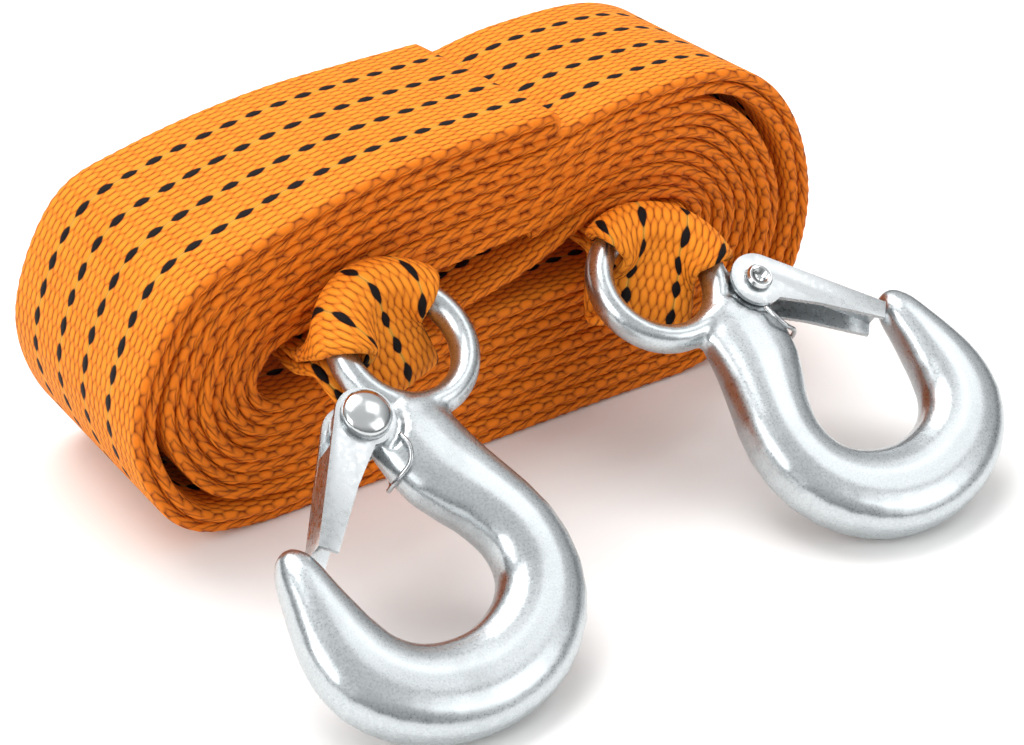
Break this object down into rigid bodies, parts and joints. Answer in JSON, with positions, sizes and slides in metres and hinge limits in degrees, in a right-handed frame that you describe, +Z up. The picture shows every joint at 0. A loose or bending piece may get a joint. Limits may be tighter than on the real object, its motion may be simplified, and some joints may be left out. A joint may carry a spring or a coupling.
{
  "type": "tow strap",
  "caption": "Flat woven webbing tow strap, folded in half and wound into an oval coil, with a forged eye hook and sprung safety latch at each end.",
  "frame": {"origin": "on the floor plane; X and Y zero lie under the coil a little right of its middle", "axes": "+X along the coil's long axis towards the right hook's side, +Y away from the hooks along the webbing's width, +Z up"},
  "size_m": [0.1693, 0.131, 0.0733],
  "materials": {
    "webbing": "coarse woven orange webbing with black dashed tracer yarns",
    "hook": "forged steel, bright zinc plated, lightly scratched",
    "latch": "stamped sheet steel, zinc plated",
    "rivet": "steel rivet, zinc plated",
    "spring": "bright spring steel wire"
  },
  "bodies": {
    "strap": {"strap_coil": "webbing", "strap_end_left": "webbing", "strap_end_right": "webbing", "hook_left": "hook", "hook_right": "hook", "rivet_left": "rivet", "rivet_right": "rivet", "spring_left": "spring", "spring_right": "spring"},
    "left_latch": {"latch_left": "latch"},
    "right_latch": {"latch_right": "latch"}
  },
  "joints": [
    {"name": "left_latch_hinge", "type": "hinge", "parent": "strap", "child": "left_latch", "pos_m": [-0.07336, -0.05011, 0.03651], "axis": [0.0203, -0.5438, 0.839], "range_deg": [0, 28], "stiffness_Nm_per_rad": 0.03, "springref_deg": -20.05},
    {"name": "right_latch_hinge", "type": "hinge", "parent": "strap", "child": "right_latch", "pos_m": [0.0233, -0.04698, 0.03452], "axis": [0.0498, 0.5251, -0.8496], "range_deg": [0, 28], "stiffness_Nm_per_rad": 0.03, "springref_deg": -20.05}
  ]
}
